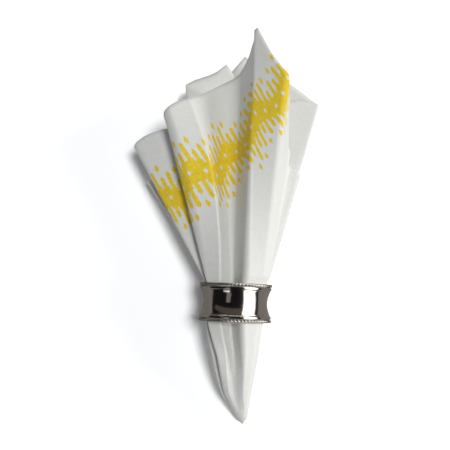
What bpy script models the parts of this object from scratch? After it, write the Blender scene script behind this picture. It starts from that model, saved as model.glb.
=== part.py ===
"""A square napkin, pinched near its middle and drawn through a polished ring.

The part lies on its back on z = 0. The ring's axis runs along Y, the fan of cloth opens
towards +Y, the pinched tip points to -Y, and the printed corner flap faces up.
Sizes are in millimetres here and become metres when a mesh is made.

The napkin is one sheet. A point of it is named by its place on the cut edge (a ruling runs
from there to the pinch) and by its distance from the pinch. At each station along Y the
sheet's section is a belt led round a row of pulleys, one for each fold, outward folds
turning one way and inward folds the other, so that its layers never meet.
"""
import bpy
import numpy as np

MM = 0.001

# ---- napkin ----
SIDE = 390.0  # cut size of the square cloth
THICK = 1.0  # thickness of the sheet
TANGENT_REACH = 0.6  # its faces are offset square to the section over this length each way
PINCH_U, PINCH_V = 5.0, -14.0  # where it is pinched, measured from its centre
CORNERS = (0.0, SIDE, 2 * SIDE, 3 * SIDE)  # along the cut edge, from the flap's corner

# ---- ring ----
RING_TURN = -2.2  # the ring sits a little askew about Z, in degrees
RING_ALONG = -1.2  # and its middle a little towards the tail
WAIST_R = 21.5  # outer radius at the waist
RIM_R = 23.7  # outer radius beside the lip
LIP_R = 24.2  # outer radius of the rounded lip
LIP_Y = 10.5  # half-height of the band
WALL = 1.1
ROPE_R, ROPE_Y = 23.6, 11.8  # centre circle of each rope border
ROPE_THICK = 2.0
ROPE_WAVE = 0.14  # how far a strand stands proud
ROPE_STRANDS = 62  # strands that show round a border
AXIS_Z = ROPE_R + ROPE_THICK / 2  # the rope borders stand on the floor

# ---- stations of the belt ----
TAIL_START, TAIL_END = -84.0, -13.0
MOUTH_Y, MOUTH_R, MOUTH_X = 15.5, 22.6, 1.0  # where the cloth leaves the ring
BORE_R = 19.4  # cloth inside the waist
NECK_Y, NECK_R, NECK_X = 13.0, 21.2, 0.5  # cloth inside the rim
FAN_Y = 110.0  # the station that the fan columns describe
FAR_Y = 240.0  # rulings are traced this far and then cut to length

# One row for each fold, in their order round the cut edge, from the flap's corner.
# edge: its place on the cut edge; turn: +1 folds outward, -1 inward;
# ring_angle, depth, ring_round: its pulley in the ring, in degrees, how far inside the
# cloth's envelope it sits, and its radius; tail_angle: its angle in the tail; lasting: 1 where
# the fold still shows near the tail's tip;
# fan_x, fan_z, fan_round: its pulley at FAN_Y; flare: how late it swings out (1 = straight);
# slack: cloth lost in small crumples along the ruling.
COLUMNS = ("edge", "turn", "ring_angle", "depth", "ring_round", "tail_angle", "lasting",
           "fan_x", "fan_z", "fan_round", "flare", "slack")
FOLDS = {
    "flap_shoulder":    (6,  1,  68,  0.0, 2.0,  62, 1,  12.4, 50.2,  2.6, 1.0,  9),
    "front_valley":    (43, -1, 112, 12.0, 1.6,  95, 1,  -4.0, 39.0,  7.5, 1.2, 11),
    "crease":          (84,  1, 130,  3.5, 0.8, 117, 1, -22.5, 45.0,  0.8, 2.3,  0),
    "pleat_2":        (113,  1, 155,  0.0, 1.4, 134, 1, -38.0, 40.5,  6.0, 1.0, -2),
    "pleat_2_inner":  (143, -1, 165, 10.0, 0.8, 147, 1, -19.0, 35.0,  1.2, 1.0,  0),
    "lobe_1":         (187,  1, 176,  0.0, 1.0, 160, 1, -68.2, 21.5,  4.0, 1.0, -5),
    "lobe_1_inner":   (262, -1, 185,  8.0, 0.8, 172, 0,   4.0, 28.9,  1.2, 0.9,  8),
    "back_lobe":      (338,  1, 194,  0.0, 1.0, 186, 0, -29.7, 21.0,  1.3, 0.9, 11),
    "back_inner":     (450, -1, 203,  9.5, 0.8, 198, 0,  11.0, 20.8,  1.2, 0.9, 50),
    "low_lobe":       (562,  1, 212,  0.0, 1.0, 210, 0, -75.5, 12.8,  1.5, 1.0, 15),
    "low_inner":      (636, -1, 221,  8.0, 0.8, 220, 0,   8.0, 12.8,  1.2, 0.9, 12),
    "under_1":        (690,  1, 230,  0.0, 1.0, 231, 0, -69.0,  9.2,  1.0, 0.9, 10),
    "under_1_inner":  (800, -1, 240,  9.0, 0.8, 242, 0,  16.0,  9.0,  1.1, 0.9,  3),
    "under_2":        (866,  1, 250,  0.0, 1.0, 252, 0, -67.0,  5.6,  1.1, 0.9, 10),
    "under_2_inner":  (930, -1, 260,  8.0, 1.0, 263, 0,  24.0,  5.4,  1.2, 1.0,  6),
    "under_3":       (1000,  1, 271,  0.0, 1.1, 275, 0, -64.0,  0.6,  1.1, 0.9,  2),
    "under_4":       (1105,  1, 290,  0.0, 1.3, 292, 0,  43.0,  3.9,  4.5, 1.0,  4),
    "under_4_inner": (1155, -1, 300, 12.0, 0.8, 303, 0,  12.0, 16.4,  1.1, 1.0, 14),
    "right_lobe":    (1216,  1, 314,  0.0, 1.2, 316, 0,  49.3, 20.0,  1.6, 0.8,  2),
    "right_inner":   (1282, -1, 325,  9.5, 0.8, 327, 0,   7.0, 26.4,  1.1, 1.0,  8),
    "hidden_lobe":   (1335,  1, 336,  0.0, 1.1, 340, 0,  45.0, 25.8,  1.4, 1.0,  8),
    "hidden_inner":  (1385, -1, 346,  8.0, 0.8, 351, 0,   8.0, 32.2,  1.1, 1.0, 10),
    "flap_side":     (1434,  1, 360,  0.0, 3.0, 365, 1,  47.5, 33.0,  4.5, 1.0, 28),
    "flap_edge":     (1464,  1, 379,  0.0, 4.0, 382, 1,  34.5, 48.5,  4.0, 1.0, 27),
    "flap_crest":    (1522,  1, 400,  0.0, 4.0, 400, 1,  28.3, 51.0,  5.0, 1.0, 10),
}
# Slack at places between folds, as edge and slack: the flap's free edge dips beside its tip.
MORE_SLACK = ((20, 13), (32, 13), (64, 7.5), (76, 4), (100, -3), (178, -8), (390, 31), (402, 31),
              (770, 8), (780, 2), (1190, 9), (1236, -8), (1541, 11))
# How many points each fold's arc and the straight after it get.
ARC_POINTS = {"front_valley": 6, "crease": 3, "flap_crest": 3, "flap_edge": 3}
ARC_POINTS_ELSE = 4
MID_POINTS = {"front_valley": 2, "flap_side": 2, "flap_shoulder": 2, "flap_crest": 2}
MID_POINTS_ELSE = 1

# Envelope of the tail: place along Y, half-width, height and sideways place of its axis,
# and how much of the folding is left (0 at the rounded tip).
TAIL_COLUMNS = ("y", "half", "axis_z", "axis_x", "fold")
TAIL = (
    (-84.0,  1.0,  1.9,  4.6, 0.00),
    (-81.0,  3.2,  3.7,  4.2, 0.00),
    (-74.0,  6.2,  6.9,  2.8, 0.15),
    (-63.0, 10.3, 11.6,  0.4, 0.35),
    (-50.0, 13.3, 16.6, -0.3, 0.50),
    (-36.0, 15.9, 20.8, -0.6, 0.90),
    (-22.0, 18.0, 23.6, -0.6, 1.00),
    (-13.0, 19.4, 24.6, -0.5, 1.00),
)
TWIST_START, TWIST_LENGTH = -40.0, 27.0  # the tail's fold angles turn into the ring's here
EARLY_FADE = 4  # power of the fading of folds that don't last
INNER_SKIN_ROW = 4  # nearer the tip than this station the gathered cloth is solid
FAN_STEPS = 8
FAN_CROWDING = 1.4  # the stations stand closer beside the ring, where the folds turn most

fold = {c: np.array([row[i] for row in FOLDS.values()], float) for i, c in enumerate(COLUMNS)}
tail = {c: np.array([row[i] for row in TAIL], float) for i, c in enumerate(TAIL_COLUMNS)}
LOOP = 4 * SIDE


def along_edge(edge, values, lap=0.0):
    """Reads a column between the folds; lap is what it gains in one trip round."""
    at = np.concatenate([[fold["edge"][-1] - LOOP], fold["edge"], [fold["edge"][0] + LOOP]])
    value = np.concatenate([[values[-1] - lap], values, [values[0] + lap]])
    return np.interp(np.mod(edge, LOOP), at, value)


def slack_along(edge):
    """Slack of each ruling, from the folds and the places between them."""
    places = sorted([*zip(fold["edge"], fold["slack"]), *MORE_SLACK])
    at, slack = np.array(places).T
    return np.interp(edge, at, slack, period=LOOP)


def pinch_distance(edge):
    """Distance in the flat cloth from the pinch to a place on the cut edge."""
    half = SIDE / 2
    at = np.append(CORNERS, LOOP)
    u = np.interp(np.mod(edge, LOOP), at, (half, -half, -half, half, half))
    v = np.interp(np.mod(edge, LOOP), at, (half, half, -half, -half, half))
    return np.hypot(u - PINCH_U, v - PINCH_V)


def edge_per_belt(edge):
    """Cut edge that a unit of belt at FAN_Y takes up in the flat cloth: the squared distance from
    the pinch over the product of the side's own distance from it and the belt's."""
    side = (np.mod(edge, LOOP) // SIDE).astype(int)
    apart = SIDE / 2 + np.array([-PINCH_V, PINCH_U, PINCH_V, -PINCH_U])
    return pinch_distance(edge) ** 2 / (apart[side] * (FAN_Y - tail["y"][0]))


def belt_course(x, z, radius):
    """Direction in which the belt reaches each pulley, its sweep there, and the next straight."""
    turn = fold["turn"]
    to_x, to_z = np.roll(x, -1) - x, np.roll(z, -1) - z
    offset = turn * radius - np.roll(turn * radius, -1)
    straight = np.sqrt(np.maximum(to_x**2 + to_z**2 - offset**2, 1e-6))
    leave = np.arctan2(to_z, to_x) + np.arctan2(offset, straight)
    reach = np.roll(leave, 1)
    sweep = np.mod((leave - reach) * turn, 2 * np.pi)
    sweep = np.where(sweep > 1.6 * np.pi, sweep - 2 * np.pi, sweep) * turn
    return reach, sweep, straight


def belt_samples():
    """Which pulley, arc or straight, and how far along it, for each column of the sheet."""
    names = list(FOLDS)
    reach, sweep, straight = belt_course(fold["fan_x"], fold["fan_z"], fold["fan_round"])
    half_arc = np.abs(sweep) * fold["fan_round"] / 2 * edge_per_belt(fold["edge"])
    samples = []
    for i, name in enumerate(names):
        for share in np.linspace(0, 1, ARC_POINTS.get(name, ARC_POINTS_ELSE)):
            samples.append((i, 0, share, fold["edge"][i] + (2 * share - 1) * half_arc[i]))
        j = (i + 1) % len(names)
        start = fold["edge"][i] + half_arc[i]
        end = fold["edge"][j] - half_arc[j] + (LOOP if j == 0 else 0)
        shares = np.linspace(0, 1, MID_POINTS.get(name, MID_POINTS_ELSE) + 2)[1:-1]
        for corner in CORNERS + (LOOP,):
            if start < corner < end:
                at_corner = (corner - start) / (end - start)
                shares[np.argmin(np.abs(shares - at_corner))] = at_corner
        for share in np.sort(shares):
            samples.append((i, 1, share, start + (end - start) * share))
    return np.array(samples)


def belt(x, z, radius, samples):
    """Points of the belt round pulleys at x, z."""
    reach, sweep, straight = belt_course(x, z, radius)
    i = samples[:, 0].astype(int)
    on_straight = samples[:, 1] == 1
    share = samples[:, 2]
    angle = reach[i] + sweep[i] * np.where(on_straight, 1.0, share)
    run = np.where(on_straight, share * straight[i], 0.0)
    side = fold["turn"][i] * radius[i]
    return (x[i] + side * np.sin(angle) + run * np.cos(angle),
            z[i] - side * np.cos(angle) + run * np.sin(angle))


def gathered(samples, envelope, angles, folded):
    """The section in the ring or tail: the belt at its size, eased towards a plain round.

    folded is the share of folding left; folds that don't last lose theirs sooner.
    """
    outward = fold["turn"] > 0
    reach = BORE_R - fold["depth"] - np.where(outward, fold["ring_round"], 0.0)
    x, z = belt(reach * np.cos(np.radians(angles)), reach * np.sin(np.radians(angles)),
                fold["ring_round"], samples)
    round_angle = np.radians(along_edge(samples[:, 3], angles, lap=360.0))
    kept = along_edge(samples[:, 3], np.where(fold["lasting"] == 1, folded, folded**EARLY_FADE))
    x = kept * x + (1 - kept) * BORE_R * np.cos(round_angle)
    z = kept * z + (1 - kept) * BORE_R * np.sin(round_angle)
    return x * envelope / BORE_R, z * envelope / BORE_R


def gathered_stations(samples):
    """Stations from the tip to the mouth of the ring."""
    stations = []
    for y in tail["y"]:
        envelope, axis_z, axis_x, folded = (np.interp(y, tail["y"], tail[c])
                                            for c in ("half", "axis_z", "axis_x", "fold"))
        turned = np.clip((y - TWIST_START) / TWIST_LENGTH, 0, 1)
        turned = turned * turned * (3 - 2 * turned)
        angles = fold["tail_angle"] * (1 - turned) + fold["ring_angle"] * turned
        x, z = gathered(samples, envelope, angles, folded)
        stations.append(np.stack([x + axis_x, np.full(len(x), y), z + axis_z], axis=1))
    in_ring = ((0.0, BORE_R, 0.0), (NECK_Y, NECK_R, NECK_X), (MOUTH_Y, MOUTH_R, MOUTH_X))
    for y, envelope, axis_x in in_ring:
        x, z = gathered(samples, envelope, fold["ring_angle"], 1.0)
        stations.append(np.stack([x + axis_x, np.full(len(x), y), z + AXIS_Z], axis=1))
    return np.array(stations)


def fan_stations(samples, inner):
    """Stations of the fan: each ruling is cut where the flat cloth's length is used up."""
    edge = samples[:, 3]
    used = np.linalg.norm(np.diff(inner, axis=0), axis=2).sum(axis=0)
    length = pinch_distance(edge) - slack_along(edge) - used
    mouth = inner[-1]
    fan_x, fan_z = belt(fold["fan_x"], fold["fan_z"], fold["fan_round"], samples)
    y = np.linspace(MOUTH_Y, FAR_Y, 120)
    t = (y - MOUTH_Y) / (FAN_Y - MOUTH_Y)
    swing = t[None, :] ** along_edge(edge, fold["flare"])[:, None]
    x = mouth[:, 0, None] + (fan_x - mouth[:, 0])[:, None] * swing
    z = mouth[:, 2, None] + (fan_z - mouth[:, 2])[:, None] * t[None, :]
    ruling = np.stack([x, np.broadcast_to(y, x.shape), z], axis=2)
    run = np.linalg.norm(np.diff(ruling, axis=1), axis=2).cumsum(axis=1)
    run = np.concatenate([np.zeros((len(edge), 1)), run], axis=1)
    shares = np.linspace(0, 1, FAN_STEPS + 1)[1:] ** FAN_CROWDING
    return np.array([[[np.interp(length[k] * share, run[k], ruling[k, :, c]) for c in range(3)]
                      for k in range(len(edge))] for share in shares])


def sheet_surface():
    """Middle surface of the napkin: stations from tip to cut edge, by columns round the belt."""
    samples = belt_samples()
    inner = gathered_stations(samples)
    surface = np.concatenate([inner, fan_stations(samples, inner)])
    surface[:, :, 2] = np.maximum(surface[:, :, 2], THICK / 2)  # it lies flat where it rests
    return surface


def around_tangents(station):
    """Directions along a closed section, each taken over the same length of cloth."""
    closed = np.concatenate([station, station[:1]])
    run = np.concatenate([[0.0], np.linalg.norm(np.diff(closed, axis=0), axis=1).cumsum()])
    ahead, behind = (np.stack([np.interp(np.mod(run[:-1] + way, run[-1]), run, closed[:, c])
                               for c in range(3)], axis=1) for way in (TANGENT_REACH, -TANGENT_REACH))
    return ahead - behind


def surface_normals(surface):
    """Unit normals of the grid, pointing out of the cone of cloth."""
    lengthways = np.gradient(surface, axis=0)
    around = np.array([around_tangents(station) for station in surface])
    normal = np.cross(lengthways, around)
    normal /= np.linalg.norm(normal, axis=2, keepdims=True)
    outward = (surface - surface.mean(axis=1, keepdims=True)) * (1, 0, 1)
    outward /= np.linalg.norm(outward, axis=2, keepdims=True)
    normal[:INNER_SKIN_ROW] = outward[:INNER_SKIN_ROW]
    normal[INNER_SKIN_ROW] += outward[INNER_SKIN_ROW]
    normal[surface[:, :, 2] <= THICK / 2] = (0, 0, -1)  # lying on the floor
    return normal / np.linalg.norm(normal, axis=2, keepdims=True)


def make_object(name, points, faces, material, smooth_angle=40.0):
    """A mesh object from points in millimetres, with its origin at the part's origin."""
    mesh = bpy.data.meshes.new(name)
    mesh.from_pydata([tuple(p) for p in np.asarray(points) * MM], [], faces)
    mesh.validate()
    mesh.shade_smooth()
    mesh.set_sharp_from_angle(angle=np.radians(smooth_angle))
    mesh.materials.append(material)
    thing = bpy.data.objects.new(name, mesh)
    bpy.context.scene.collection.objects.link(thing)
    return thing


def finish_material(name, colour, metallic, roughness):
    material = bpy.data.materials.new(name)
    material.use_nodes = True
    shader = material.node_tree.nodes["Principled BSDF"]
    shader.inputs["Base Color"].default_value = (*colour, 1.0)
    shader.inputs["Metallic"].default_value = metallic
    shader.inputs["Roughness"].default_value = roughness
    return material


def loft_faces(rows, columns, first=0, flip=False):
    """Quads between rows of a grid that closes on itself sideways."""
    faces = []
    for r in range(rows - 1):
        for c in range(columns):
            d = (c + 1) % columns
            a = first + r * columns
            b = a + columns
            quad = (a + c, b + c, b + d, a + d)
            faces.append(quad[::-1] if flip else quad)
    return faces


def build_napkin(material):
    """Outer and inner skins of the sheet, joined at the cut edge and each closed at the tip."""
    surface = sheet_surface()
    normal = surface_normals(surface)
    outer = surface + normal * THICK / 2
    inner = (surface - normal * THICK / 2)[INNER_SKIN_ROW:]
    rows, columns = surface.shape[:2]
    inner_rows = rows - INNER_SKIN_ROW
    first_inner = rows * columns
    outer_tip = first_inner + inner_rows * columns
    inner_tip = outer_tip + 1
    tips = [outer[0].mean(axis=0) + (0, -THICK / 2, 0), inner[0].mean(axis=0) + (0, -THICK / 2, 0)]
    points = np.concatenate([outer.reshape(-1, 3), inner.reshape(-1, 3), tips])
    faces = loft_faces(rows, columns)
    faces += loft_faces(inner_rows, columns, first_inner, flip=True)
    for c in range(columns):
        d = (c + 1) % columns
        out_c, out_d = (rows - 1) * columns + c, (rows - 1) * columns + d
        in_c = first_inner + (inner_rows - 1) * columns + c
        in_d = first_inner + (inner_rows - 1) * columns + d
        faces.append((out_c, in_c, in_d, out_d))
        faces.append((outer_tip, c, d))
        faces.append((inner_tip, first_inner + d, first_inner + c))
    return make_object("napkin", points, faces, material)


def ring_place(points):
    """Takes points about the ring's own axis (along Y) to where the ring stands."""
    turn = np.radians(RING_TURN)
    x, y, z = points[..., 0], points[..., 1], points[..., 2]
    return np.stack([x * np.cos(turn) - y * np.sin(turn),
                     x * np.sin(turn) + y * np.cos(turn) + RING_ALONG,
                     z + AXIS_Z], axis=-1)


def band_profile():
    """Half of the band's outline, from the waist to the lip and back inside, as radius and y."""
    hollow = LIP_Y - 2.2  # the concave body ends here and the lip begins
    outside = [(WAIST_R + (RIM_R - WAIST_R) * (y / hollow) ** 2, y) for y in np.linspace(0, hollow, 5)]
    outside += [(LIP_R, LIP_Y - 1.4), (LIP_R, LIP_Y - 0.5), (LIP_R - 0.4, LIP_Y)]
    inside = [(LIP_R - 0.4 - WALL, LIP_Y), (RIM_R - WALL, hollow)]
    inside += [(WAIST_R + (RIM_R - WAIST_R) * (y / hollow) ** 2 - WALL, y) for y in (hollow * 0.6, 0.0)]
    return outside, inside


def build_band(material, steps=56):
    """The concave band, turned about the ring's axis."""
    outside, inside = band_profile()
    low_outside = [(r, -y) for r, y in outside[:0:-1]]
    low_inside = [(r, -y) for r, y in inside[-2::-1]]
    outline = np.array(low_outside + outside + inside + low_inside)
    angle = np.linspace(0, 2 * np.pi, steps, endpoint=False)
    radius, y = outline[:, 0, None], outline[:, 1, None]
    points = np.stack([radius * np.cos(angle), y + 0 * angle, radius * np.sin(angle)], axis=2)
    faces = loft_faces(len(outline), steps)
    last = (len(outline) - 1) * steps
    for c in range(steps):
        d = (c + 1) % steps
        faces.append((last + c, c, d, last + d))
    return make_object("ring_band", ring_place(points).reshape(-1, 3), faces, material)


def build_rope(name, side, material, steps_per_strand=3, section=6):
    """A rope border: a round section whose radius waves round the ring, slanted as a twist."""
    steps = ROPE_STRANDS * steps_per_strand
    around = np.linspace(0, 2 * np.pi, steps, endpoint=False) - np.pi / 2
    spin = np.linspace(0, 2 * np.pi, section, endpoint=False)[:, None]
    phase = ROPE_STRANDS * (around + np.pi / 2)[None, :] + side * spin
    thick = ROPE_THICK / 2 - ROPE_WAVE + ROPE_WAVE * np.cos(phase)
    radius = ROPE_R + thick * np.cos(spin)
    y = side * ROPE_Y + thick * np.sin(spin)
    points = np.stack([radius * np.cos(around), y, radius * np.sin(around)], axis=2)
    faces = loft_faces(section, steps)
    last = (section - 1) * steps
    for c in range(steps):
        d = (c + 1) % steps
        faces.append((last + c, c, d, last + d))
    return make_object(name, ring_place(points).reshape(-1, 3), faces, material)


def stand_on_origin(things):
    """Moves the part so that its box's bottom centre is the origin."""
    corners = np.array([v.co for thing in things for v in thing.data.vertices])
    low, high = corners.min(axis=0), corners.max(axis=0)
    shift = -np.array([(low[0] + high[0]) / 2, (low[1] + high[1]) / 2, low[2]])
    for thing in things:
        for vertex in thing.data.vertices:
            vertex.co = vertex.co + type(vertex.co)(shift)


def main():
    for thing in list(bpy.data.objects):
        bpy.data.objects.remove(thing, do_unlink=True)
    linen = finish_material("napkin_cotton", (0.86, 0.87, 0.84), 0.0, 0.85)
    metal = finish_material("ring_nickel", (0.42, 0.39, 0.36), 1.0, 0.12)
    things = [
        build_napkin(linen),
        build_band(metal),
        build_rope("rope_border_fan", 1, metal),
        build_rope("rope_border_tail", -1, metal),
    ]
    stand_on_origin(things)


main()
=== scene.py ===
"""The looks of a square printed napkin, drawn through a polished ring with rope borders.

Sizes are in millimetres. The ring's middle lies over x = 0, y = RING_ALONG, its axis runs
nearly along Y, the fan of cloth opens towards +Y, the pinched tip points to -Y and the floor
is z = 0. to_frame takes such points to metres in the frame.

Every shape is a surface over two parameters, worked out as whole numpy arrays. The napkin's
are its place on the cut edge and the share of the way from the pinch to that edge, which are
also its UV map, so that weave and print follow the cloth through every fold.
"""

import bpy
import numpy as np
from mathutils import Matrix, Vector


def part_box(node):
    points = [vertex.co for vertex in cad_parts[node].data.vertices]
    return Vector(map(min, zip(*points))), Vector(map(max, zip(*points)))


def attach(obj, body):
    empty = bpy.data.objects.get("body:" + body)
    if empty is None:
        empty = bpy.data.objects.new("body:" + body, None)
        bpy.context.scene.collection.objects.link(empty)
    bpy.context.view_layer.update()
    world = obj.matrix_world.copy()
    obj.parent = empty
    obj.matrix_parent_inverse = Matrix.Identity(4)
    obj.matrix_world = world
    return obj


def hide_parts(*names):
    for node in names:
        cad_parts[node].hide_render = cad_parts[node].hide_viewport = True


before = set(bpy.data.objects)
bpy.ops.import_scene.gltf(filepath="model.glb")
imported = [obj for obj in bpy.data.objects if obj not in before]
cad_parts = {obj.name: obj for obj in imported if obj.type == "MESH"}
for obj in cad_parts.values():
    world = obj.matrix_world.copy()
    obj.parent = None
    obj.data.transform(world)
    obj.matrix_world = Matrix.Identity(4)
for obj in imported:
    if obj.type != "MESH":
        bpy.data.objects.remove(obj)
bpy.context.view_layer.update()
MM = 0.001
BAND_LOW, BAND_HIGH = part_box("ring_band")
RING_X, RING_Y = ((low + high) / 2 / MM for low, high in zip(BAND_LOW[:2], BAND_HIGH[:2]))

# ---- napkin ----
SIDE = 390.0  # cut size of the square cloth
LOOP = 4 * SIDE  # the cut edge, from the flap's corner round to it again
CLOTH = 0.45  # thickness of the woven cloth
PINCH_U, PINCH_V = 5.0, -14.0  # where it is pinched: its centre lies this far across and down
CLOTH_MAP = "flat_cloth"  # the UV map of the place in the flat cloth

# ---- ring ----
RING_TURN = -2.2  # the ring sits a little askew about Z, in degrees
RING_ALONG = -1.2  # y of its middle, a little towards the tail
WAIST_R = 21.5  # outer radius at the waist
RIM_R = 23.6  # outer radius where the concave body ends
LIP_R = 24.2  # outer radius of the rounded lip
LIP_ROOT = 0.25  # depth of the fine groove between body and lip
LIP_FULLNESS = 0.7  # power of the cosine in the lip's outline: below 1 is fuller than round
BODY_Y = 8.4  # half-height of the concave body
LIP_Y = 10.6  # half-height of the band
WALL = 1.1
ROPE_R, ROPE_Y = 23.6, 11.8  # centre circle of each rope border
ROPE_THICK = 2.0
ROPE_GROOVE, GROOVE_POWER = 0.6, 1.5  # depth between two strands, and how narrow it is
ROPE_STRANDS = 62  # strands that show round a border
ROPE_SLANT = 1.6  # how far a groove leans over the section, in radians of one strand
AXIS_Z = ROPE_R + ROPE_THICK / 2
BODY_POINTS, LIP_POINTS, INSIDE_POINTS = 33, 11, 17  # points of the band's outline
BAND_STEPS = 288  # steps round the band
STRAND_STEPS, ROPE_SECTION = 8, 14  # steps along each strand, and round the rope's section

# ---- stations of the belt along Y ----
MOUTH_Y, MOUTH_R, MOUTH_X = 15.5, 22.6, 1.0  # where the cloth leaves the ring
NECK_Y, NECK_R, NECK_X = 13.0, 21.2, 0.5  # inside the rim
BORE_R, BORE_Y = 19.4, 3.0  # inside the waist, which ends at this y
RING_STATIONS = (-8.0, -3.0, 2.0, 7.0, NECK_Y - 2, NECK_Y, MOUTH_Y)
FAN_Y = 110.0  # the station that the fan columns describe
FAR_Y, TRACE_POINTS = 250.0, 240  # rulings are traced this far and then cut to length
TAIL_ROWS, FAN_ROWS = 38, 50
TAIL_CROWDING, FAN_CROWDING = 0.85, 1.25  # both make the stations stand closer beside the ring

# One row for each fold, in their order round the cut edge, from the flap's corner.
# edge: its place on the cut edge; turn: +1 folds outward, -1 inward;
# ring_angle, depth, ring_round: its pulley in the ring, in degrees, how far inside the
# cloth's envelope it sits, and its radius; tail_angle: its angle in the tail; lasting: 1 where
# the fold still shows near the tail's tip;
# fan_x, fan_z, fan_round: its pulley at FAN_Y; flare: how late it swings out (1 = straight);
# slack: cloth lost in small crumples along the ruling.
FOLD_COLUMNS = ("edge", "turn", "ring_angle", "depth", "ring_round", "tail_angle", "lasting",
                "fan_x", "fan_z", "fan_round", "flare", "slack")
FOLDS = {
    "flap_shoulder":    (6,  1,  68,  0.0, 3.0,  62, 1,  12.4, 50.2,  2.6, 1.0,  5),
    "front_valley":    (43, -1, 112, 12.0, 1.6,  95, 1,  -4.0, 39.0,  7.5, 1.2, 11),
    "crease":          (84,  1, 130,  3.5, 0.8, 117, 1, -22.5, 45.0,  0.8, 2.3, 0.5),
    "pleat_2":        (113,  1, 155,  0.0, 1.4, 134, 1, -38.0, 40.5,  6.0, 1.0, -2),
    "pleat_2_inner":  (143, -1, 165, 10.0, 0.8, 147, 1, -19.0, 35.0,  1.2, 1.0,  0),
    "lobe_1":         (187,  1, 176,  0.0, 1.0, 160, 1, -68.2, 21.5,  4.0, 1.0, -5),
    "lobe_1_inner":   (262, -1, 185,  9.0, 0.8, 172, 0,   7.0, 28.6,  1.2, 0.9,  8),
    "back_lobe":      (338,  1, 194,  0.0, 1.0, 186, 0, -29.7, 21.0,  1.3, 0.9, 11),
    "back_inner":     (450, -1, 203, 12.0, 0.8, 198, 0,  15.5, 20.8,  1.2, 0.9, 50),
    "low_lobe":       (555,  1, 212,  0.0, 1.0, 210, 0, -77.0, 11.0,  2.6, 1.0, 17),
    "low_inner":      (622, -1, 221,  9.5, 0.8, 220, 0,   9.0, 12.8,  1.2, 0.9, 12),
    "under_1":        (680,  1, 230,  0.0, 1.0, 231, 0,   -54,  9.2,  1.0, 0.9, 10),
    "under_1_inner":  (800, -1, 240, 12.0, 0.8, 242, 0,  12.0,  9.0,  1.1, 0.9,  3),
    "under_2":        (880,  1, 250,  0.0, 1.0, 252, 0,   -64,  5.6,  1.1, 0.9, 10),
    "under_2_inner":  (940, -1, 260,  9.0, 1.0, 263, 0,  30.0,  5.4,  1.2, 1.0,  6),
    "under_3":       (1010,  1, 271,  0.0, 1.1, 275, 0, -73.0,  0.6,  1.1, 0.9,  2),
    "under_4":       (1105,  1, 290,  0.0, 1.3, 292, 0,  43.0,  3.9,  4.5, 1.0,  4),
    "under_4_inner": (1155, -1, 300, 12.0, 0.8, 303, 0,  12.0, 16.4,  1.1, 1.0, 14),
    "right_lobe":    (1216,  1, 314,  0.0, 1.2, 316, 0,  49.3, 20.0,  1.6, 0.8,  2),
    "right_inner":   (1282, -1, 328,  9.5, 0.8, 327, 0,   6.0, 26.0,  1.1, 1.0,  0),
    "hidden_lobe":   (1335,  1, 336,  0.0, 1.1, 340, 0,  45.0, 25.8,  1.4, 1.0,  8),
    "hidden_inner":  (1385, -1, 349, 11.0, 0.8, 351, 0,   4.0, 32.6,  1.1, 1.0, 10),
    "flap_side":     (1434,  1, 360,  0.0, 3.0, 365, 1,  47.5, 33.0,  4.5, 1.0, 28),
    "flap_hollow":   (1449, -1, 368,  0.5, 0.5, 372, 0,  42.0, 41.0,  3.0, 1.0, 29),
    "flap_edge":     (1464,  1, 379,  0.0, 4.0, 382, 1,  34.5, 48.5,  4.0, 1.0, 27),
    "flap_crest":    (1522,  1, 400,  0.0, 4.0, 400, 1,  28.3, 51.0,  5.0, 1.0, 10),
}
# Slack at places between folds, as edge and slack: the flap's free edge dips beside its tip.
MORE_SLACK = ((20, 13), (32, 13), (64, 7.5), (76, 4), (100, -3), (178, -8), (390, 31), (402, 31),
              (770, 8), (780, 2), (1190, 9), (1236, -8), (1541, 11))
# Power of the way at places on the edge: 1 for a fold that runs straight to the pinch.
SQUARENESS = ((0, 1.0), (20, 1.0), (84, 0.72), (113, 0.55), (200, 0.5), (300, 1.0), (LOOP, 1.0))
# Points on each fold's arc and on the straight after it: more where the cloth shows from above.
ARC_POINTS = {"front_valley": 16, "flap_crest": 10, "flap_edge": 10, "flap_side": 10,
              "flap_shoulder": 10, "under_4": 10}
ARC_POINTS_ELSE = 8
MID_POINTS = {"flap_shoulder": 20, "front_valley": 14, "crease": 12, "pleat_2": 12, "flap_crest": 14,
              "lobe_1": 14, "flap_edge": 12, "flap_side": 12, "under_3": 14}
MID_POINTS_ELSE = 10

# Envelope of the tail: place along Y, half-width, height and sideways place of its axis,
# and how much of the folding is left (0 at the rounded tip).
TAIL_COLUMNS = ("y", "half", "axis_z", "axis_x", "fold")
TAIL = (
    (-84.6,  0.4,  1.2,  4.7, 0.00),
    (-84.0,  1.2,  1.8,  4.6, 0.00),
    (-81.0,  3.2,  3.7,  4.2, 0.00),
    (-74.0,  6.2,  6.9,  2.8, 0.15),
    (-63.0, 10.3, 11.6,  0.4, 0.35),
    (-50.0, 13.3, 16.6, -0.3, 0.50),
    (-36.0, 15.9, 20.8, -0.6, 0.90),
    (-22.0, 18.0, 23.6, -0.6, 1.00),
    (-13.0, 19.4, 24.6, -0.5, 1.00),
)
TWIST_START, TWIST_LENGTH = -40.0, 27.0  # the tail's fold angles turn into the ring's here
EARLY_FADE = 2.5  # power of the fading of folds that don't last
WIDEST_SWEEP = 1.6 * np.pi  # a pulley's sweep above this is a small turn the other way
TIP_REACH = 0.3  # the point that closes the tip stands this far beyond the first station

fold = {c: np.array([row[i] for row in FOLDS.values()], float) for i, c in enumerate(FOLD_COLUMNS)}
tail = {c: np.array([row[i] for row in TAIL], float) for i, c in enumerate(TAIL_COLUMNS)}


# ---------------------------------------------------------------- the napkin's surface

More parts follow.
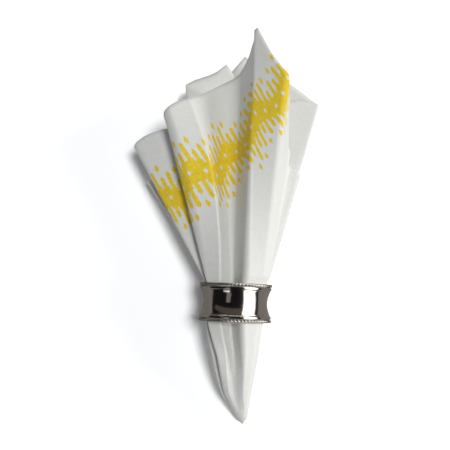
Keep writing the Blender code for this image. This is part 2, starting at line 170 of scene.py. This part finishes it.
def ease(t):
    """Smooth step: 3 t squared minus 2 t cubed, held at 0 and 1 outside."""
    t = np.clip(t, 0, 1)
    return t * t * (3 - 2 * t)


def through(at, places, values):
    """A smooth curve through values at places: cubic pieces with the secants' mean as slopes."""
    places, values = np.asarray(places, float), np.asarray(values, float)
    slope = np.gradient(values, places)
    i = np.clip(np.searchsorted(places, at, side="right") - 1, 0, len(places) - 2)
    gap = places[i + 1] - places[i]
    t = np.clip((at - places[i]) / gap, 0, 1)
    start = (1 + 2 * t) * (1 - t) ** 2 * values[i] + t * (1 - t) ** 2 * gap * slope[i]
    end = t * t * (3 - 2 * t) * values[i + 1] - t * t * (1 - t) * gap * slope[i + 1]
    return start + end


def along_edge(edge, values, lap=0.0):
    """Reads a column between the folds; lap is what it gains in one trip round."""
    at = np.concatenate([[fold["edge"][-1] - LOOP], fold["edge"], [fold["edge"][0] + LOOP]])
    value = np.concatenate([[values[-1] - lap], values, [values[0] + lap]])
    return np.interp(np.mod(edge, LOOP), at, value)


def slack_along(edge):
    """Slack of each ruling: a smooth curve through the folds' and the other places' slack."""
    places = sorted([*zip(fold["edge"], fold["slack"]), *MORE_SLACK])
    at, slack = np.array(places).T
    round_trip = np.append(at, at[0] + LOOP), np.append(slack, slack[0])
    return through(np.mod(edge - at[0], LOOP) + at[0], *round_trip)


def flat_edge(edge):
    """Place of a cut-edge point in the flat cloth: across from side 1's start, down from side 1."""
    corners = np.arange(5) * SIDE
    across = np.interp(np.mod(edge, LOOP), corners, (0, SIDE, SIDE, 0, 0))
    down = np.interp(np.mod(edge, LOOP), corners, (0, 0, SIDE, SIDE, 0))
    return across, down


def pinch_distance(edge):
    """Distance in the flat cloth from the pinch to a place on the cut edge."""
    across, down = flat_edge(edge)
    return np.hypot(across - (SIDE / 2 - PINCH_U), down - (SIDE / 2 - PINCH_V))


def edge_per_belt(edge):
    """Cut edge that a unit of belt at FAN_Y takes up in the flat cloth: the squared distance from
    the pinch over the product of the side's own distance from it and the belt's."""
    side = (np.mod(edge, LOOP) // SIDE).astype(int)
    apart = np.array([SIDE / 2 - PINCH_V, SIDE / 2 + PINCH_U, SIDE / 2 + PINCH_V, SIDE / 2 - PINCH_U])
    return pinch_distance(edge) ** 2 / (apart[side] * (FAN_Y - tail["y"][0]))


def belt_course(x, z, radius):
    """Direction in which the belt reaches each pulley, its sweep there, and the next straight."""
    turn = fold["turn"]
    to_x, to_z = np.roll(x, -1) - x, np.roll(z, -1) - z
    offset = turn * radius - np.roll(turn * radius, -1)
    straight = np.sqrt(np.maximum(to_x**2 + to_z**2 - offset**2, 1e-6))
    leave = np.arctan2(to_z, to_x) + np.arctan2(offset, straight)
    reach = np.roll(leave, 1)
    sweep = np.mod((leave - reach) * turn, 2 * np.pi)
    sweep = np.where(sweep > WIDEST_SWEEP, sweep - 2 * np.pi, sweep) * turn
    return reach, sweep, straight


def belt_samples():
    """Rows of pulley, arc (0) or straight (1), share of it, and place on the cut edge."""
    names = list(FOLDS)
    reach, sweep, straight = belt_course(fold["fan_x"], fold["fan_z"], fold["fan_round"])
    half_arc = np.abs(sweep) * fold["fan_round"] / 2 * edge_per_belt(fold["edge"])
    samples = []
    for i, name in enumerate(names):
        for share in np.linspace(0, 1, ARC_POINTS.get(name, ARC_POINTS_ELSE)):
            samples.append((i, 0, share, fold["edge"][i] + (2 * share - 1) * half_arc[i]))
        j = (i + 1) % len(names)
        start = fold["edge"][i] + half_arc[i]
        end = fold["edge"][j] - half_arc[j] + (LOOP if j == 0 else 0)
        shares = np.linspace(0, 1, MID_POINTS.get(name, MID_POINTS_ELSE) + 2)[1:-1]
        for corner in np.arange(5) * SIDE:
            if start < corner < end:
                at_corner = (corner - start) / (end - start)
                shares[np.argmin(np.abs(shares - at_corner))] = at_corner
        for share in np.sort(shares):
            samples.append((i, 1, share, start + (end - start) * share))
    return np.array(samples)


def belt(x, z, radius, samples):
    """The belt's points: a circle's arc on each pulley, a straight from each to the next."""
    reach, sweep, straight = belt_course(x, z, radius)
    i = samples[:, 0].astype(int)
    on_straight = samples[:, 1] == 1
    share = samples[:, 2]
    angle = reach[i] + sweep[i] * np.where(on_straight, 1.0, share)
    run = np.where(on_straight, share * straight[i], 0.0)
    side = fold["turn"][i] * radius[i]
    return (x[i] + side * np.sin(angle) + run * np.cos(angle),
            z[i] - side * np.cos(angle) + run * np.sin(angle))


def gathered(samples, envelope, angles, folded):
    """A section in the ring or tail: pulleys on circles, the belt eased towards a plain round.

    folded is the share of folding left; folds that don't last lose theirs sooner.
    """
    outward = fold["turn"] > 0
    reach = BORE_R - fold["depth"] - np.where(outward, fold["ring_round"], 0.0)
    x, z = belt(reach * np.cos(np.radians(angles)), reach * np.sin(np.radians(angles)),
                fold["ring_round"], samples)
    round_angle = np.radians(along_edge(samples[:, 3], angles, lap=360.0))
    kept = along_edge(samples[:, 3], np.where(fold["lasting"] == 1, folded, folded**EARLY_FADE))
    x = kept * x + (1 - kept) * BORE_R * np.cos(round_angle)
    z = kept * z + (1 - kept) * BORE_R * np.sin(round_angle)
    return x * envelope / BORE_R, z * envelope / BORE_R


def gathered_stations(samples):
    """Stations from the tip to the mouth of the ring; the tail's envelope is a smooth curve."""
    stations = []
    for y in np.linspace(0, 1, TAIL_ROWS) ** TAIL_CROWDING * (tail["y"][-1] - tail["y"][0]) + tail["y"][0]:
        envelope, axis_z, axis_x, folded = (through(y, tail["y"], tail[c])
                                            for c in ("half", "axis_z", "axis_x", "fold"))
        turned = ease((y - TWIST_START) / TWIST_LENGTH)
        angles = fold["tail_angle"] * (1 - turned) + fold["ring_angle"] * turned
        x, z = gathered(samples, envelope, angles, np.clip(folded, 0, 1))
        stations.append(np.stack([x + axis_x, np.full(len(x), y), z + axis_z], axis=1))
    for y in RING_STATIONS:
        envelope = np.interp(y, (BORE_Y, NECK_Y, MOUTH_Y), (BORE_R, NECK_R, MOUTH_R))
        axis_x = np.interp(y, (tail["y"][-1], 0.0, NECK_Y, MOUTH_Y),
                           (tail["axis_x"][-1], 0.0, NECK_X, MOUTH_X))
        x, z = gathered(samples, envelope, fold["ring_angle"], 1.0)
        stations.append(np.stack([x + axis_x, np.full(len(x), y), z + AXIS_Z], axis=1))
    return np.array(stations)


def fan_stations(samples, inner):
    """Stations of the fan: each ruling runs from the mouth through the belt at FAN_Y, swinging
    out as a power of the way, and is cut where the flat cloth's length is used up."""
    edge = samples[:, 3]
    used = np.linalg.norm(np.diff(inner, axis=0), axis=2).sum(axis=0)
    length = pinch_distance(edge) - slack_along(edge) - used
    mouth = inner[-1]
    fan_x, fan_z = belt(fold["fan_x"], fold["fan_z"], fold["fan_round"], samples)
    y = np.linspace(MOUTH_Y, FAR_Y, TRACE_POINTS)
    t = (y - MOUTH_Y) / (FAN_Y - MOUTH_Y)
    swing = t[:, None] ** along_edge(edge, fold["flare"])
    ruling = np.stack([mouth[:, 0] + (fan_x - mouth[:, 0]) * swing,
                       np.broadcast_to(y[:, None], swing.shape),
                       mouth[:, 2] + (fan_z - mouth[:, 2]) * t[:, None]], axis=2)
    run = np.linalg.norm(np.diff(ruling, axis=0), axis=2).cumsum(axis=0)
    run = np.concatenate([np.zeros((1, len(edge))), run])
    column = np.arange(len(edge))
    stations = []
    for share in np.linspace(0, 1, FAN_ROWS + 1)[1:] ** FAN_CROWDING:
        target = length * share
        i = np.clip((run <= target).sum(axis=0) - 1, 0, len(y) - 2)
        part = (target - run[i, column]) / (run[i + 1, column] - run[i, column])
        stations.append(ruling[i, column] + part[:, None] * (ruling[i + 1, column] - ruling[i, column]))
    return np.array(stations)


def sheet_surface():
    """Middle surface of the napkin: stations from tip to cut edge, by columns round the belt."""
    samples = belt_samples()
    inner = gathered_stations(samples)
    surface = np.concatenate([inner, fan_stations(samples, inner)])
    surface[:, :, 2] = np.maximum(surface[:, :, 2], CLOTH / 2)  # it lies flat where it rests
    return samples, surface


def flat_map(samples, surface):
    """Each grid point's place in the flat cloth, as shares of its side: the share of its
    ruling's length, laid off from the pinch towards its place on the cut edge. Across, a power
    of the share makes the pleats on side 1 leave that side squarely, as pressed folds do."""
    run = np.linalg.norm(np.diff(surface, axis=0), axis=2).cumsum(axis=0)
    share = np.concatenate([np.zeros((1, surface.shape[1])), run / run[-1]])
    across, down = flat_edge(samples[:, 3])
    pinch_across, pinch_down = SIDE / 2 - PINCH_U, SIDE / 2 - PINCH_V
    squared = share ** np.interp(np.mod(samples[:, 3], LOOP), *np.transpose(SQUARENESS))
    return np.stack([pinch_across + (across - pinch_across) * squared,
                     pinch_down + (down - pinch_down) * share], axis=2) / SIDE


# ---------------------------------------------------------------- meshes

def to_frame(points):
    """Takes points in millimetres to metres in the frame, where the band's box is centred on
    the ring's middle."""
    return (points + (RING_X, RING_Y - RING_ALONG, 0.0)) * MM


def grid_faces(rows, columns, close_rows=False):
    """Corner numbers of the quads of a grid that closes sideways, and lengthways if asked."""
    r = np.arange(rows if close_rows else rows - 1)[:, None]
    c = np.arange(columns)[None, :]
    below, above, right = r * columns, (r + 1) % rows * columns, (c + 1) % columns
    return np.stack([below + c, above + c, above + right, below + right], axis=2).reshape(-1, 4)


def add_piece(name, points, faces, materials, replaced, uv=None):
    """A smooth mesh object at the origin that rides on the body and stands for CAD nodes."""
    mesh = bpy.data.meshes.new(name)
    mesh.from_pydata(to_frame(points).tolist(), [], faces)
    if uv is not None:
        corner = np.zeros(len(mesh.loops), np.int32)
        mesh.loops.foreach_get("vertex_index", corner)
        mesh.uv_layers.new(name=CLOTH_MAP).data.foreach_set("uv", uv[corner].astype(np.float32).ravel())
    mesh.shade_smooth()
    for material in materials:
        mesh.materials.append(material)
    piece = bpy.data.objects.new(name, mesh)
    bpy.context.scene.collection.objects.link(piece)
    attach(piece, "root")
    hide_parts(replaced)
    return piece


def make_napkin(materials):
    """The printed sheet: its grid, closed by one point at the tip, with a wall of cloth."""
    samples, surface = sheet_surface()
    rows, columns = surface.shape[:2]
    tip = surface[0].mean(axis=0) - (0, TIP_REACH, 0)
    points = np.concatenate([surface.reshape(-1, 3), [tip]])
    flat = flat_map(samples, surface)
    uv = np.concatenate([flat.reshape(-1, 2), [flat[0].mean(axis=0)]])
    c = np.arange(columns)
    tip_faces = np.stack([np.full(columns, rows * columns), c, (c + 1) % columns], axis=1)
    faces = grid_faces(rows, columns).tolist() + tip_faces.tolist()
    piece = add_piece("printed_napkin", points, faces, materials, "napkin", uv)
    wall = piece.modifiers.new("cloth_wall", "SOLIDIFY")
    wall.thickness = CLOTH * MM
    wall.offset = 0.0
    wall.material_offset = 1


def in_ring(points):
    """Takes points about the ring's own axis to where the ring stands."""
    turn = np.radians(RING_TURN)
    x, y, z = points[..., 0], points[..., 1], points[..., 2]
    return np.stack([x * np.cos(turn) - y * np.sin(turn),
                     x * np.sin(turn) + y * np.cos(turn) + RING_ALONG,
                     z + AXIS_Z], axis=-1)


def band_outline():
    """Closed outline of the band's wall, as radius and y: a concave body whose radius grows with
    the square of y, a fine groove, a rounded lip whose radius is a power of a cosine, and the
    same body inset by the wall."""
    y = np.linspace(-BODY_Y, BODY_Y, BODY_POINTS)
    body = WAIST_R + (RIM_R - WAIST_R) * (y / BODY_Y) ** 2
    swell = np.linspace(-0.5 * np.pi, 0.5 * np.pi, LIP_POINTS)
    lip_y = (BODY_Y + LIP_Y) / 2 + (LIP_Y - BODY_Y) / 2 * np.sin(swell)
    lip = RIM_R - LIP_ROOT + (LIP_R - RIM_R + LIP_ROOT) * np.cos(swell) ** LIP_FULLNESS
    outside = np.concatenate([np.stack([lip[::-1], -lip_y[::-1]], axis=1),
                              np.stack([body, y], axis=1)[1:-1],
                              np.stack([lip, lip_y], axis=1)])
    inner_y = np.linspace(LIP_Y, -LIP_Y, INSIDE_POINTS)
    inside = np.stack([WAIST_R - WALL + (RIM_R - WAIST_R) * (inner_y / LIP_Y) ** 2, inner_y], axis=1)
    return np.concatenate([outside, inside])


def make_band(material):
    """The band: its outline turned about the ring's axis."""
    outline = band_outline()
    angle = np.linspace(0, 2 * np.pi, BAND_STEPS, endpoint=False)
    radius, y = outline[:, 0, None], outline[:, 1, None]
    points = np.stack([radius * np.cos(angle), y + 0 * angle, radius * np.sin(angle)], axis=2)
    faces = grid_faces(len(outline), BAND_STEPS, close_rows=True).tolist()
    add_piece("turned_band", in_ring(points).reshape(-1, 3), faces, [material], "ring_band")


def make_rope(name, side, material, replaced):
    """A rope border: a round section swept round the ring, whose radius dips in a groove
    between strands; the grooves shift with the angle in the section, so that they slant."""
    steps = ROPE_STRANDS * STRAND_STEPS
    around = np.linspace(0, 2 * np.pi, steps, endpoint=False) - np.pi / 2
    spin = np.linspace(0, 2 * np.pi, ROPE_SECTION, endpoint=False)[:, None]
    phase = ROPE_STRANDS * (around + np.pi / 2)[None, :] + ROPE_SLANT * side * np.sin(spin)
    thick = ROPE_THICK / 2 - ROPE_GROOVE * (1 - np.abs(np.cos(phase / 2))) ** GROOVE_POWER
    radius = ROPE_R + thick * np.cos(spin)
    y = side * ROPE_Y + thick * np.sin(spin)
    points = np.stack([radius * np.cos(around), y, radius * np.sin(around)], axis=2)
    faces = grid_faces(ROPE_SECTION, steps, close_rows=True).tolist()
    add_piece(name, in_ring(points).reshape(-1, 3), faces, [material], replaced)


# ---------------------------------------------------------------- materials

def new_group(name, inputs, outputs):
    """An empty shader node group with named float or vector sockets."""
    group = bpy.data.node_groups.new(name, "ShaderNodeTree")
    for way, sockets in (("INPUT", inputs), ("OUTPUT", outputs)):
        for socket, kind, value in sockets:
            made = group.interface.new_socket(socket, in_out=way, socket_type=kind)
            if value is not None:
                made.default_value = value
    return group, group.nodes.new("NodeGroupInput").outputs, group.nodes.new("NodeGroupOutput").inputs


def calc(tree, operation, *terms, clamp=False):
    """A Math node of sockets and numbers; returns its value."""
    node = tree.nodes.new("ShaderNodeMath")
    node.operation = operation
    node.use_clamp = clamp
    for socket, term in zip(node.inputs, terms):
        if isinstance(term, (int, float)):
            socket.default_value = term
        else:
            tree.links.new(term, socket)
    return node.outputs[0]


def below(tree, value, high, soft):
    """1 where value lies below high, 0 above it, over a soft border."""
    drop = calc(tree, "DIVIDE", calc(tree, "SUBTRACT", high, value), soft)
    return calc(tree, "ADD", drop, 0.5, clamp=True)


def noise(tree, vector, scale, detail=2.0, stretch=(1, 1, 1)):
    """Noise of a vector, with scale as features in one of its units, squeezed along each axis by
    stretch."""
    if stretch != (1, 1, 1):
        mapping = tree.nodes.new("ShaderNodeMapping")
        mapping.inputs["Scale"].default_value = stretch
        tree.links.new(vector, mapping.inputs["Vector"])
        vector = mapping.outputs["Vector"]
    node = tree.nodes.new("ShaderNodeTexNoise")
    node.inputs["Scale"].default_value = scale
    node.inputs["Detail"].default_value = detail
    tree.links.new(vector, node.inputs["Vector"])
    return node.outputs["Fac"]


THREAD = 0.62  # width of a thread
WAVER_SCALE, WAVER = 0.35, 0.8  # how often and how far the threads stray
SLUB_ALONG, SLUB_ACROSS = 0.16, 1.3  # scales of the noise that thickens threads
THREAD_RELIEF = 0.35  # height of the threads beside the slubs'


def weave_group():
    """Plain weave of uneven threads. Height is |sin| across the warp where the warp is on top
    and across the weft elsewhere; Tone follows slubs, thick places drawn out along threads."""
    group, given, out = new_group(
        "plain_weave",
        [("Cloth mm", "NodeSocketVector", None), ("Thread", "NodeSocketFloat", THREAD)],
        [("Height", "NodeSocketFloat", None), ("Tone", "NodeSocketFloat", None)])
    split = group.nodes.new("ShaderNodeSeparateXYZ")
    group.links.new(given["Cloth mm"], split.inputs[0])
    stray = calc(group, "SUBTRACT", noise(group, given["Cloth mm"], WAVER_SCALE), 0.5)
    waver = calc(group, "MULTIPLY", stray, WAVER)
    wave = []
    for axis in ("X", "Y"):
        thread = calc(group, "DIVIDE", calc(group, "ADD", split.outputs[axis], waver), given["Thread"])
        wave.append(calc(group, "SINE", calc(group, "MULTIPLY", thread, np.pi)))
    over = calc(group, "GREATER_THAN", calc(group, "MULTIPLY", wave[0], wave[1]), 0.0)
    ridge = [calc(group, "ABSOLUTE", w) for w in wave]
    height = calc(group, "ADD", calc(group, "MULTIPLY", ridge[0], over),
                  calc(group, "MULTIPLY", ridge[1], calc(group, "SUBTRACT", 1.0, over)))
    slubs = calc(group, "ADD", noise(group, given["Cloth mm"], 1.0, 2.0, (SLUB_ACROSS, SLUB_ALONG, 1)),
                 noise(group, given["Cloth mm"], 1.0, 2.0, (SLUB_ALONG, SLUB_ACROSS, 1)))
    relief = calc(group, "MULTIPLY", height, THREAD_RELIEF)
    group.links.new(calc(group, "ADD", relief, slubs), out["Height"])
    group.links.new(slubs, out["Tone"])
    return group


PRINT_PITCH = 4.6  # from one printed stroke to the next
STROKE, STROKE_POINT = 2.6, 0.6  # width of a stroke, and its half-width over length at a pointed end
SHORTER = 4.5  # how much nearer the middle the ends of every other stroke lie
CORE = 7.5  # half the height of the solid core
PRINT_TOP, PRINT_BOTTOM = 26.0, 66.0  # mean borders of the band, below side 1
PRINT_ZIGZAG, PRINT_SWING = 36.8, 5.0  # the borders' repeat along side 1, and half their swing
LOZENGE_GAP = 6.0  # from a short stroke's end to the middle of the lozenge beyond it
LOZENGE_REACH, LOZENGE_SLOPE = 1.5, 0.5  # half-width of a lozenge, and that over its half-height
WHITE_REACH, WHITE_SLOPE = 1.2, 0.6  # the same for the white ones in the core
INK_SOFT, CORE_SOFT = 0.2, 0.3  # width of the ink's soft borders


def print_group():
    """A flame-stitch band: strokes of one width with pointed ends, which step up and down in
    zigzags and run together in the middle.

    The ends are a triangle wave of the stroke's own centre, and every other stroke is longer.
    A row of lozenges follows each border, and a row is left white along the middle."""
    group, given, out = new_group("flame_stitch_print", [("Cloth mm", "NodeSocketVector", None)],
                                  [("Ink", "NodeSocketFloat", None)])

    def less(first, second):
        return calc(group, "SUBTRACT", first, second)

    def lozenge(place, slope, reach):
        off = calc(group, "MULTIPLY", calc(group, "ABSOLUTE", less(down, place)), slope)
        inside = below(group, calc(group, "ADD", off, aside), reach, INK_SOFT)
        return calc(group, "MULTIPLY", inside, short)

    split = group.nodes.new("ShaderNodeSeparateXYZ")
    group.links.new(given["Cloth mm"], split.inputs[0])
    across, down = split.outputs["X"], split.outputs["Y"]
    column = calc(group, "FLOOR", calc(group, "DIVIDE", across, PRINT_PITCH))
    centre = calc(group, "MULTIPLY", calc(group, "ADD", column, 0.5), PRINT_PITCH)
    aside = calc(group, "ABSOLUTE", less(across, centre))
    short = calc(group, "LESS_THAN", calc(group, "PINGPONG", column, 1.0), 0.5)
    zigzag = less(calc(group, "PINGPONG", centre, PRINT_ZIGZAG / 2), PRINT_ZIGZAG / 4)
    swing = calc(group, "MULTIPLY", zigzag, 4 * PRINT_SWING / PRINT_ZIGZAG)
    inset = calc(group, "MULTIPLY", short, SHORTER)
    top = calc(group, "ADD", calc(group, "ADD", swing, PRINT_TOP), inset)
    bottom = less(calc(group, "ADD", swing, PRINT_BOTTOM), inset)
    nearest_end = calc(group, "MINIMUM", less(down, top), less(bottom, down))
    half_width = calc(group, "MINIMUM", calc(group, "MULTIPLY", nearest_end, STROKE_POINT), STROKE / 2)
    stroke = below(group, aside, half_width, INK_SOFT)
    middle = calc(group, "ADD", swing, (PRINT_TOP + PRINT_BOTTOM) / 2)
    core = below(group, calc(group, "ABSOLUTE", less(down, middle)), CORE, CORE_SOFT)
    ink = calc(group, "MAXIMUM", stroke, core)
    for place in (less(top, LOZENGE_GAP), calc(group, "ADD", bottom, LOZENGE_GAP)):
        ink = calc(group, "MAXIMUM", ink, lozenge(place, LOZENGE_SLOPE, LOZENGE_REACH))
    white = lozenge(middle, WHITE_SLOPE, WHITE_REACH)
    group.links.new(calc(group, "SUBTRACT", ink, white, clamp=True), out["Ink"])
    return group


def cloth_mm(tree):
    """The cloth's own map in millimetres: across from side 1's start, down from side 1."""
    place = tree.nodes.new("ShaderNodeUVMap")
    place.uv_map = CLOTH_MAP
    scale = tree.nodes.new("ShaderNodeVectorMath")
    scale.operation = "SCALE"
    scale.inputs["Scale"].default_value = SIDE
    tree.links.new(place.outputs["UV"], scale.inputs[0])
    return scale.outputs["Vector"]


def placed(tree, group, vector):
    """A group's node in a material, fed with the cloth's own map."""
    node = tree.nodes.new("ShaderNodeGroup")
    node.node_tree = group
    tree.links.new(vector, node.inputs["Cloth mm"])
    return node


MIX_COLOURS, MIX_RESULT = slice(6, 8), 2  # a Mix node's colour sockets, whose names aren't unique


def mixed(tree, factor, first, second):
    """A colour mix by a factor socket; first and second are sockets or linear colours."""
    node = tree.nodes.new("ShaderNodeMix")
    node.data_type = "RGBA"
    tree.links.new(factor, node.inputs["Factor"])
    for socket, term in zip(node.inputs[MIX_COLOURS], (first, second)):
        if hasattr(term, "is_linked"):
            tree.links.new(term, socket)
        else:
            socket.default_value = (*term, 1.0)
    return node.outputs[MIX_RESULT]


COTTON, COTTON_DIM = (0.74, 0.74, 0.71), (0.68, 0.68, 0.645)
YELLOW, YELLOW_DIM = (0.84, 0.64, 0.055), (0.70, 0.49, 0.02)
SLUB_LOW, SLUB_GAIN = 0.7, 1.6  # the slubs' sum that is still dim, and how fast cloth brightens above
SHINE_THROUGH = 0.10  # share of the ink that shows on the back
NICKEL_DARK, NICKEL_LIGHT = (0.47, 0.435, 0.40), (0.55, 0.515, 0.475)
SMUDGES, SMUDGED = 90.0, 0.12  # scale of the smudges a metre, and the roughness that they add
RUBBING, RUBBED = (60, 2600, 60), 0.12  # the same for marks drawn out round the ring


def cotton(name, weave, ink_group, ink_share):
    """White woven cotton, its print mixed in by ink_share."""
    material = bpy.data.materials.new(name)
    material.use_nodes = True
    tree = material.node_tree
    shader = tree.nodes["Principled BSDF"]
    vector = cloth_mm(tree)
    threads = placed(tree, weave, vector)
    ink = placed(tree, ink_group, vector).outputs["Ink"]
    tone = calc(tree, "SUBTRACT", threads.outputs["Tone"], SLUB_LOW)
    tone = calc(tree, "MULTIPLY", tone, SLUB_GAIN, clamp=True)
    white = mixed(tree, tone, COTTON_DIM, COTTON)
    yellow = mixed(tree, tone, YELLOW_DIM, YELLOW)
    colour = mixed(tree, calc(tree, "MULTIPLY", ink, ink_share), white, yellow)
    tree.links.new(colour, shader.inputs["Base Color"])
    shader.inputs["Roughness"].default_value = 0.88
    shader.inputs["Sheen Weight"].default_value = 0.12
    shader.inputs["Sheen Roughness"].default_value = 0.5
    shader.inputs["Specular IOR Level"].default_value = 0.25
    bump = tree.nodes.new("ShaderNodeBump")
    bump.inputs["Strength"].default_value = 0.35
    bump.inputs["Distance"].default_value = 0.12 * MM
    tree.links.new(threads.outputs["Height"], bump.inputs["Height"])
    tree.links.new(bump.outputs["Normal"], shader.inputs["Normal"])
    return material


def polished_nickel(name):
    """Warm grey polished metal with faint rubbing marks round the ring."""
    material = bpy.data.materials.new(name)
    material.use_nodes = True
    tree = material.node_tree
    shader = tree.nodes["Principled BSDF"]
    place = tree.nodes.new("ShaderNodeTexCoord")
    smudge = noise(tree, place.outputs["Object"], SMUDGES, 4.0)
    rubbed = noise(tree, place.outputs["Object"], 1.0, 3.0, RUBBING)
    tone = mixed(tree, smudge, NICKEL_DARK, NICKEL_LIGHT)
    tree.links.new(tone, shader.inputs["Base Color"])
    shader.inputs["Metallic"].default_value = 1.0
    rough = calc(tree, "ADD", calc(tree, "MULTIPLY", smudge, SMUDGED), calc(tree, "MULTIPLY", rubbed, RUBBED))
    tree.links.new(rough, shader.inputs["Roughness"])
    return material


# ---------------------------------------------------------------- stage, lights and camera

FLOOR_REACH, FLOOR_Z = 3.0, -0.0003  # in metres: half its side, and a hair below the lowest cloth
FLOOR_PALE, FLOOR_MIRRORED, FLOOR_SEEN = (0.93, 0.93, 0.93), (0.33, 0.31, 0.295), (1.35, 1.35, 1.35)
# Soft lights: azimuth, height and spread in degrees, power, colour.
SOFT_LIGHTS = {
    "key":       (2, 18, 24, 1.9, (1.0, 0.99, 0.97)),
    "overhead":  (15, 72, 18, 1.95, (0.98, 0.99, 1.0)),
    "left_fill": (200, 36, 20, 0.3, (0.96, 0.98, 1.0)),
}
# Reflectors: place, the point that it faces, size across and along Y, power, colour.
REFLECTORS = {
    "window":    ((420, 0, 450), (0, 0, 450), (620, 1800), 10.2, (1, 1, 1)),
    "lit_rail":  ((0, 900, 380), (0, 0, AXIS_Z), (1500, 50), 1.6, (1, 1, 1)),
    "warm_wall": ((-675, 560, 700), (-575, 0, AXIS_Z), (2650, 420), 0.35, (1.0, 0.86, 0.76)),
    "pale_post": ((-250, -190, 560), (0, 0, AXIS_Z), (150, 420), 0.055, (1, 1, 1)),
    "spot":      ((-300, -460, 420), (0, 0, AXIS_Z), (220, 110), 0.15, (1, 1, 1)),
}
STUDIO_SOFT, STUDIO_MIRRORED, STUDIO_SEEN = (0.075, 0.075, 0.08), (0.012, 0.011, 0.012), (1.0, 1.0, 1.0)
EYE = (3.4, -0.5, 500.0)  # the camera looks down, from over the ring
PITCH, YAW, ROLL = 0.109, -0.022, -0.002  # leaning towards the fan, in radians
LENS, SENSOR, NEAREST = 55.95, 36.0, 0.01  # millimetres, and the near clip in metres


def make_floor():
    """A pale floor just below the lowest cloth. What mirrors it sees it darker, and the camera
    sees it brighter, so that it is as white as a studio's."""
    material = bpy.data.materials.new("pale_floor")
    material.use_nodes = True
    tree = material.node_tree
    shader = tree.nodes["Principled BSDF"]
    ray = tree.nodes.new("ShaderNodeLightPath")
    shade = mixed(tree, ray.outputs["Is Glossy Ray"], FLOOR_PALE, FLOOR_MIRRORED)
    shade = mixed(tree, ray.outputs["Is Camera Ray"], shade, FLOOR_SEEN)
    tree.links.new(shade, shader.inputs["Base Color"])
    shader.inputs["Roughness"].default_value = 0.9
    shader.inputs["Specular IOR Level"].default_value = 0.0
    corners = [(x * FLOOR_REACH, y * FLOOR_REACH, FLOOR_Z) for x, y in ((-1, -1), (1, -1), (1, 1), (-1, 1))]
    mesh = bpy.data.meshes.new("floor")
    mesh.from_pydata(corners, [], [(0, 1, 2, 3)])
    mesh.materials.append(material)
    floor = bpy.data.objects.new("floor", mesh)
    bpy.context.scene.collection.objects.link(floor)


def aimed(start, end):
    """A lamp's matrix at start, in metres, shining towards end, with its local y along the
    frame's Y as far as it can be."""
    back = (start - end) / np.linalg.norm(start - end)
    side = np.cross((0.0, 1.0, 0.0), back)
    side /= np.linalg.norm(side)
    matrix = np.eye(4)
    matrix[:3, :4] = np.stack([side, np.cross(back, side), back, start], axis=1)
    return Matrix(matrix.tolist())


def add_light(name, kind, power, matrix, colour):
    """A lamp that the camera doesn't see."""
    light = bpy.data.lights.new(name, kind)
    light.energy, light.color = power, colour
    thing = bpy.data.objects.new(name, light)
    bpy.context.scene.collection.objects.link(thing)
    thing.matrix_world = matrix
    thing.visible_camera = False
    return thing


def add_soft_light(name, azimuth, height, spread, power, colour):
    """A far, soft light from a direction in degrees, which polished metal doesn't mirror."""
    azimuth, height = np.radians(azimuth), np.radians(height)
    start = np.array([np.cos(height) * np.cos(azimuth), np.cos(height) * np.sin(azimuth), np.sin(height)])
    thing = add_light(name, "SUN", power, aimed(start, np.zeros(3)), colour)
    thing.data.angle = np.radians(spread)
    thing.visible_glossy = False


def add_reflector(name, place, aim, size, power, colour):
    """A bright rectangle, in millimetres, that shows only in the polished metal."""
    start, end = (to_frame(np.array(p, float)) for p in (place, aim))
    thing = add_light(name, "AREA", power, aimed(start, end), colour)
    thing.data.shape = "RECTANGLE"
    thing.data.size, thing.data.size_y = size[0] * MM, size[1] * MM
    thing.visible_diffuse = False


def make_lights():
    """A low key from the right, a softer light from above, weak fills and the ring's reflections."""
    for name, values in SOFT_LIGHTS.items():
        add_soft_light(name, *values)
    for name, values in REFLECTORS.items():
        add_reflector(name, *values)
    world = bpy.data.worlds.new("studio")
    bpy.context.scene.world = world
    world.use_nodes = True
    tree = world.node_tree
    ray = tree.nodes.new("ShaderNodeLightPath")
    shade = mixed(tree, ray.outputs["Is Glossy Ray"], STUDIO_SOFT, STUDIO_MIRRORED)
    shade = mixed(tree, ray.outputs["Is Camera Ray"], shade, STUDIO_SEEN)
    tree.links.new(shade, tree.nodes["Background"].inputs["Color"])


def make_camera():
    """The camera, turned by its yaw first, then its pitch and roll."""
    camera = bpy.data.cameras.new("camera")
    camera.lens = LENS
    camera.sensor_width = SENSOR
    camera.clip_start = NEAREST
    thing = bpy.data.objects.new("camera", camera)
    bpy.context.scene.collection.objects.link(thing)
    thing.location = to_frame(np.array(EYE))
    thing.rotation_mode = "YXZ"
    thing.rotation_euler = (PITCH, -YAW, ROLL)
    bpy.context.scene.camera = thing


def main():
    """Builds the pieces, then the stage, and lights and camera."""
    weave, ink = weave_group(), print_group()
    metal = polished_nickel("polished_nickel")
    make_band(metal)
    make_rope("rope_fan_side", 1, metal, "rope_border_fan")
    make_rope("rope_tail_side", -1, metal, "rope_border_tail")
    make_napkin([cotton("printed_face", weave, ink, 1.0), cotton("reverse_face", weave, ink, SHINE_THROUGH)])
    make_floor()
    make_lights()
    make_camera()
    bpy.context.scene.view_settings.view_transform = "Standard"


main()
